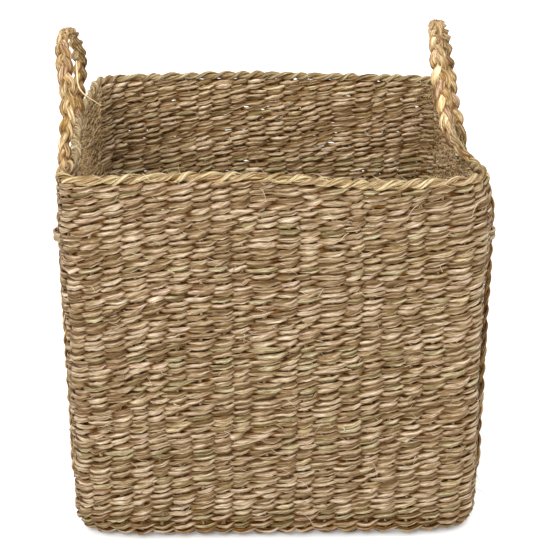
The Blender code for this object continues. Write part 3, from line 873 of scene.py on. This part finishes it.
def handle_path(side):
    """Centre line of a handle's whole braid, from the foot of one strap to the other's."""
    shape = HANDLES[side]
    front, back, foot = strap_places(side)
    hinge_x, _, hinge_z = HINGES[f"{side}_handle"]
    angle = np.linspace(0, math.pi, 400)
    power = 2 / LOOP_ROUNDNESS
    y = -np.sign(np.cos(angle)) * np.abs(np.cos(angle)) ** power
    rise = np.abs(np.sin(angle)) ** power
    turned = np.tanh(LOOP_TURN_RATE * y) / math.tanh(LOOP_TURN_RATE)
    x = shape["foot"] + shape["lean"] * rise + 4 * shape["bow"] * rise * (1 - rise) - shape["turn"] * turned
    x = x + shape["skew"] * turned * rise**4
    middle = (front + back) / 2
    span = (back - front) / 2
    loop = np.stack([hinge_x + x, middle + span * y, hinge_z + shape["height"] * rise], -1)
    loop = loop[rise > LOOP_FROM]
    z = np.linspace(foot, hinge_z - STRAP_TO, 60)

    def strap(y_at):
        x_at = shape["sign"] * (HALF + shape["off"])
        straight = np.stack([np.full_like(z, x_at), np.full_like(z, y_at), z], -1)
        return curl_in(settle(pull_in(straight)))

    path = np.concatenate([strap(front), loop, strap(back)[::-1]])
    path, _ = resample(path, 1.5 * MM)
    even_out(path, 30)
    return path, hinge_z


def even_out(rows, rounds):
    """Smooths rows between the first and the last, in place."""
    for _ in range(rounds):
        rows[1:-1] = (rows[:-2] + 2 * rows[1:-1] + rows[2:]) / 4


def resample(path, step):
    """Points at an even step along a path, and the distance of each along it."""
    run = np.concatenate([[0], np.cumsum(np.linalg.norm(np.diff(path, axis=0), axis=1))])
    count = int(run[-1] / step)
    even = np.linspace(0, run[-1], count)
    return np.stack([np.interp(even, run, path[:, axis]) for axis in range(3)], -1), even


def braid_directions(path, run, hinge_z):
    """Across and through directions of the braid: flat to the wall, then turned on each leg."""
    along = tangents(path[None], False)[0]
    above = np.nonzero(path[:, 2] > hinge_z + TWIST_FROM)[0]
    start, end = run[above[0]], run[above[-1]]
    from_start = np.minimum(run - start, end - run)
    blend = np.clip(1 - from_start / TWIST_LENGTH, 0, 1)
    angle = math.pi / 2 * blend * blend * (3 - 2 * blend)
    across = np.array([1.0, 0.0, 0.0]) - along * along[:, :1]
    across = normalise(across)
    through = np.cross(along, across)
    turned = across * np.cos(angle)[:, None] + through * np.sin(angle)[:, None]
    return along, turned, np.cross(along, turned)


def make_handle(side):
    rng = generator(50 if side == "left" else 51)
    path, hinge_z = handle_path(side)
    path, run = resample(path, BRAID_STEP)
    along, across, through = braid_directions(path, run, hinge_z)
    foot = np.minimum(run, run[-1] - run)
    tuck = np.clip(foot / (16 * MM), 0.25, 1)
    height = smoothstep((path[:, 2] - hinge_z + 8 * MM) / (25 * MM))
    top = (path[:, 2] - hinge_z) / HANDLES[side]["height"]
    wide = 1 + 0.06 * np.sin(run * 47 + 1.0) + 0.05 * np.sin(run * 91) - 0.18 * np.clip(top, 0, 1) ** 4
    waist = smoothstep((path[:, 2] - hinge_z + 40 * MM) / (30 * MM)) * (1 - smoothstep(top / 0.5))
    waist = waist * (run < run[-1] / 2)
    wide = wide * (1 - HANDLES[side]["waist"] * waist)
    wide = wide * HANDLES[side]["size"]
    count = len(path)
    for strand in range(3):
        turn = TAU * (run / BRAID_PERIOD + strand / 3) + 0.35 * np.sin(run * 37 + 2 * strand)
        swing = BRAID_SWING * (np.sin(turn) - np.sin(3 * turn) / 11) * tuck * wide
        lift = BRAID_LIFT * np.sin(2 * turn) * tuck * (0.7 + 0.3 * height)
        centre = path + across * swing[:, None] + through * lift[:, None]
        fat = wide * (1 + 0.09 * np.sin(run * 173 + strand * 2.1) + 0.07 * np.sin(run * 61 + strand))
        half_across = BRAID_HALF_WIDTH * fat * (0.80 + 0.20 * np.abs(np.sin(turn))) * np.clip(tuck, 0.5, 1)
        half_through = (1.8 + 0.5 * height) * MM * fat * np.clip(tuck, 0.5, 1)
        pick = run_values(rng, 1, count, 12, 40, lambda: rng.choice(len(STRAW), p=STRAW_SHARE))
        tone = 1 + 0.12 * run_values(rng, 1, count, 5, 14, rng.normal)
        tint = STRAW[pick] * tone[..., None]
        even_out(tint[0], 8)
        seed = np.full((1, count), rng.uniform(0, 400))
        angle = TAU * np.arange(BRAID_SIDES) / BRAID_SIDES
        strands = Strands(BRAID_SIDES, rng)
        strands.add(
            centre[None],
            through[None],
            half_across,
            half_through,
            tint,
            seed,
            twist=2.5,
            plies=BRAID_BLADES,
            depth=0.07,
            rough=0.03,
            square=0.85,
            # open_sides paints shade onto the sides of each strand that pass under the other two
            open_sides=0.45 + 0.9 * np.sin(angle) * np.sin(2 * turn)[:, None] + np.sin(turn)[:, None] ** 2,
        )
        obj = strands.build(f"{side}_braid_strand_{strand + 1}", MATERIALS["braid"])
        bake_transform(obj)
        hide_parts(f"{side}_handle_strand_{strand + 1}", f"{side}_front_strap", f"{side}_back_strap")


def make_lashings():
    """Weft strands that pass over each strap and back into the wall on both sides of it."""
    rng = generator(60)
    for side, shape in HANDLES.items():
        for place in ("front", "back"):
            low, high = (np.array(corner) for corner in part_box(f"{side}_{place}_lashing"))
            middle = (low + high) / 2
            half = (high[1] - low[1]) / 2
            angle = np.linspace(0, math.pi, 28)
            strands = Strands(WEFT_SIDES)
            for offset in (-2.6 * MM, 2.6 * MM):
                y = middle[1] - (half + 2 * MM) * np.cos(angle)
                z = middle[2] + offset + 0.8 * MM * np.sin(2 * angle)
                depth = HALF - 5 * MM + 13.5 * MM * np.sin(angle) ** 0.55
                points = np.stack([shape["sign"] * depth, y, np.broadcast_to(z, y.shape)], -1)
                centre = curl_in(settle(points))[None]
                facing = np.stack([shape["sign"] * np.sin(angle) + 1e-3, -np.cos(angle), np.zeros(28)], -1)
                tint = GRASS[rng.choice(len(GRASS), p=GRASS_SHARE)]
                seed = np.full((1, 28), rng.uniform(0, 400))
                sizes = (2.5 * MM, 1.3 * MM)
                strands.add(centre, facing[None], *sizes, tint, seed, twist=WEFT_TWIST, plies=2, depth=0.12)
            obj = strands.build(f"{side}_{place}_strap_lashing", MATERIALS["lashing"])
            finish_piece(obj, "basket", "seagrass_lashing", f"{side}_{place}_lashing")


# ---------------------------------------------------------------- loose fibres


# Kinds of loose fibre: least and most length, radius and lift, and then the curl. Lift is how
# steeply a fibre leaves the surface, and curl is how strongly it bends.
WALL_WISP = ((4 * MM, 16 * MM), (0.16 * MM, 0.32 * MM), (0, 0.45), 0.35)
CUT_END = ((4.5 * MM, 10 * MM), (0.5 * MM, 1.3 * MM), (0.15, 1.1), 0.2)
INNER_FUZZ = ((2.5 * MM, 7 * MM), (0.14 * MM, 0.3 * MM), (0, 0.7), 0.7)
RIM_WISP = ((4 * MM, 13 * MM), (0.18 * MM, 0.4 * MM), (0, 0.5), 0.4)
HANDLE_WISP = ((4 * MM, 11 * MM), (0.18 * MM, 0.4 * MM), (0, 0.5), 0.35)
FIBRE_POINTS = 5


def grow_fibres(name, body, slot, rng, roots, along, outward, kind, tints, sides=4, material="whisker"):
    """A piece of thin bent fibres that spring from the surface and taper to their tips."""
    length, radius, lift, curl = kind
    count, points = len(roots), FIBRE_POINTS
    t = np.linspace(0, 1, points)[None, :, None]
    long = rng.uniform(*length, (count, 1, 1))
    steep = rng.uniform(*lift, (count, 1, 1))
    spread = rng.normal(size=(count, 1, 3)) * 0.35
    heading = normalise(along[:, None] + spread + outward[:, None] * steep)
    bend = normalise(np.cross(heading, rng.normal(size=(count, 1, 3))))
    sway = curl * rng.normal(size=(count, 1, 1))
    droop = -0.35 * steep * outward[:, None]
    centre = roots[:, None] + long * (heading * t + (bend * sway + droop) * t * t)
    wave = normalise(np.cross(heading, bend)) * np.sin(t * rng.uniform(3, 7, (count, 1, 1))) * curl * 0.25
    centre = centre + long * wave * t
    size = rng.uniform(*radius, (count, 1)) * (1 - 0.6 * np.linspace(0, 1, points)[None] ** 2)
    facing = np.broadcast_to(outward[:, None], centre.shape) + 0.01
    tint = tints[rng.integers(len(tints), size=count)][:, None] * rng.uniform(0.7, 1.3, (count, 1, 1))
    seed = np.repeat(rng.uniform(0, 400, (count, 1)), points, axis=1)
    strands = Strands(sides)
    strands.add(centre, facing, size, size * 0.7, np.broadcast_to(tint, centre.shape), seed)
    finish_piece(strands.build(name, MATERIALS[material]), body, slot)


def wall_spots(rng, count, sign, low_u=0.0, high_u=STAKES_ROUND, low_row=HEEL_ROWS, high_row=ROWS):
    """Random places on the weave's outer (sign 1) or inner (sign -1) surface."""
    u = rng.uniform(low_u, high_u, count)
    row = rng.uniform(low_row, high_row, count)
    place, normal, upward = wall_frame(u, row)
    level = np.cross(upward, normal) * rng.choice([-1, 1], (count, 1))
    return place + normal * (sign * 4.4 * MM), level, normal * sign


def make_wall_fibres():
    """Wisps all over the weave, and cut ends of strands that poke out of it."""
    rng = generator(70)
    for name, sign, wisps, ends in (("outer", 1, 1700, 420), ("inner", -1, 1000, 160)):
        weft = ("basket", "seagrass_weft", rng)
        roots, level, out = wall_spots(rng, wisps, sign)
        grow_fibres(f"{name}_wall_fibres", *weft, roots, level, out, WALL_WISP, GRASS)
        roots, level, out = wall_spots(rng, ends, sign)
        roots = roots - out * 1.5 * MM
        looks = {"sides": 6, "material": "lashing"}
        grow_fibres(f"{name}_wall_cut_ends", *weft, roots, level, out, CUT_END, GRASS, **looks)


def make_inner_fuzz():
    """Short curly fibres that cover the inside of the two walls with handles."""
    rng = generator(74)
    # Painted light: the left fuzz is made lighter, as the left inside wall faces away from the key light
    for name, low_u, high_u, painted_light_gain in (("right", -1.0, 19.0, 1.0), ("left", 37.0, 57.0, 1.26)):
        roots, level, out = wall_spots(rng, 2600, -1, low_u, high_u, 30)
        mixed = normalise(level + rng.normal(size=level.shape) * 0.8)
        weft = ("basket", "seagrass_weft", rng)
        grow_fibres(f"{name}_inner_fuzz", *weft, roots, mixed, out, INNER_FUZZ, GRASS * FUZZ_TINT_AND_PAINTED_LIGHT * painted_light_gain)


def make_rim_fibres():
    rng = generator(71)
    count = 420
    place, normal = rim_path(2000)
    pick = rng.integers(2000, size=count)
    turn = rng.uniform(-0.6, math.pi + 0.6, count)[:, None]
    out = normal[pick] * np.cos(turn) + np.array([0.0, 0.0, 1.0]) * np.sin(turn)
    along = np.cross(np.array([0.0, 0.0, 1.0]), normal[pick]) * rng.choice([-1, 1], (count, 1))
    roots = place[pick] + out * 4.4 * MM
    grow_fibres("rim_fibres", "basket", "seagrass_rim", rng, roots, along, out, RIM_WISP, RIM_GRASS)


def make_handle_fibres(side):
    rng = generator(72 if side == "left" else 73)
    path, hinge_z = handle_path(side)
    path, run = resample(path, BRAID_STEP)
    along, across, through = braid_directions(path, run, hinge_z)
    above = np.nonzero(path[:, 2] > hinge_z + 24 * MM)[0]
    count = 170
    pick = rng.choice(above, count)
    turn = rng.uniform(0, TAU, count)[:, None]
    out = across[pick] * np.cos(turn) + through[pick] * np.sin(turn)
    reach = HANDLES[side]["size"] * np.sqrt((7.0 * MM * np.cos(turn)) ** 2 + (3.6 * MM * np.sin(turn)) ** 2)
    ways = along[pick] * rng.choice([-1, 1], (count, 1))
    roots = path[pick] + out * reach
    piece = (f"{side}_handle_fibres", f"{side}_handle", "seagrass_braid")
    grow_fibres(*piece, rng, roots, ways, out, HANDLE_WISP, STRAW)


# A pale blade that has come loose from the left handle: points listed in millimetres,
# from where it leaves the braid to its tip
LOOSE_BLADE = [
    (-192, -30, 441),
    (-191.5, -35, 430),
    (-191, -40, 418),
    (-186, -40, 410),
    (-178, -35, 403),
    (-169, -30, 395),
]


def make_loose_blade():
    points = np.array(LOOSE_BLADE) * MM
    path, _ = resample(points, 1.5 * MM)
    even_out(path, 12)
    taper = 1 - 0.5 * np.linspace(0, 1, len(path)) ** 2
    facing = np.tile([0.0, -1.0, 0.3], (len(path), 1))
    strands = Strands(6)
    seed = np.full((1, len(path)), 7.0)
    strands.add(path[None], facing[None], 0.75 * MM * taper, 0.3 * MM, STRAW[2] * 1.35, seed)
    obj = strands.build("left_handle_loose_blade", MATERIALS["whisker"])
    finish_piece(obj, "left_handle", "seagrass_braid")


# ---------------------------------------------------------------- studio


def make_floor():
    mesh = bpy.data.meshes.new("studio_floor")
    size = 4.0
    corners = [(-size, -size, 0), (size, -size, 0), (size, size, 0), (-size, size, 0)]
    mesh.from_pydata(corners, [], [(0, 1, 2, 3)])
    material = bpy.data.materials.new("studio_floor_paper")
    material.use_nodes = True
    shader = material.node_tree.nodes["Principled BSDF"]
    shader.inputs["Base Color"].default_value = (0.96, 0.96, 0.96, 1.0)
    shader.inputs["Roughness"].default_value = 0.9
    shader.inputs["Specular IOR Level"].default_value = 0.1
    mesh.materials.append(material)
    floor = bpy.data.objects.new("studio_floor", mesh)
    floor.location.z = -0.5 * MM
    bpy.context.scene.collection.objects.link(floor)


def add_light(name, place, target, size, power, tone=(1.0, 1.0, 1.0)):
    data = bpy.data.lights.new(name, "AREA")
    data.shape = "RECTANGLE"
    data.size, data.size_y = size
    data.energy = power
    data.color = tone
    light = bpy.data.objects.new(name, data)
    light.location = place
    light.rotation_euler = (Vector(target) - Vector(place)).to_track_quat("-Z", "Y").to_euler()
    bpy.context.scene.collection.objects.link(light)


def make_lights():
    middle = (0.0, 0.0, 0.2)
    add_light("key_light", (-0.6, -2.3, 1.6), middle, (1.5, 1.5), 66.0)
    add_light("ceiling_light", (0.0, 1.0, 4.0), (0.0, 1.0, 0.0), (8.0, 8.0), 190.0)
    world = bpy.data.worlds.new("studio")
    world.use_nodes = True
    background = world.node_tree.nodes["Background"]
    background.inputs["Color"].default_value = (1.0, 1.0, 1.0, 1.0)
    background.inputs["Strength"].default_value = 1.12
    bpy.context.scene.world = world
    bpy.context.scene.view_settings.view_transform = "Standard"


CAMERA_PLACE = (-0.0418, -1.4792, 0.7801)
CAMERA_ANGLES = (21.33, -1.82, 0.37)  # down, to the left and rolled, in degrees
CAMERA_LENS = 97.9  # on a sensor 36 mm wide


def make_camera():
    """A long lens in front of the basket, a little to its left, looking down into it."""
    pitch, yaw, roll = (math.radians(angle) for angle in CAMERA_ANGLES)
    forward = Vector((-math.sin(yaw) * math.cos(pitch), math.cos(yaw) * math.cos(pitch), -math.sin(pitch)))
    level = Vector((math.cos(yaw), math.sin(yaw), 0.0))
    above = level.cross(forward)
    right = level * math.cos(roll) + above * math.sin(roll)
    up = above * math.cos(roll) - level * math.sin(roll)
    data = bpy.data.cameras.new("camera")
    data.sensor_width = 36.0
    data.lens = CAMERA_LENS
    camera = bpy.data.objects.new("camera", data)
    turned = Matrix((right, up, -forward)).transposed()
    camera.matrix_world = Matrix.Translation(CAMERA_PLACE) @ turned.to_4x4()
    bpy.context.scene.collection.objects.link(camera)
    bpy.context.scene.camera = camera


# ---------------------------------------------------------------- build

make_camera()
make_walls()
make_base()
make_stakes()
make_rim()
for handle_side in HANDLES:
    make_handle(handle_side)
    make_handle_fibres(handle_side)
make_loose_blade()
make_lashings()
make_wall_fibres()
make_inner_fuzz()
make_rim_fibres()
make_floor()
make_lights()
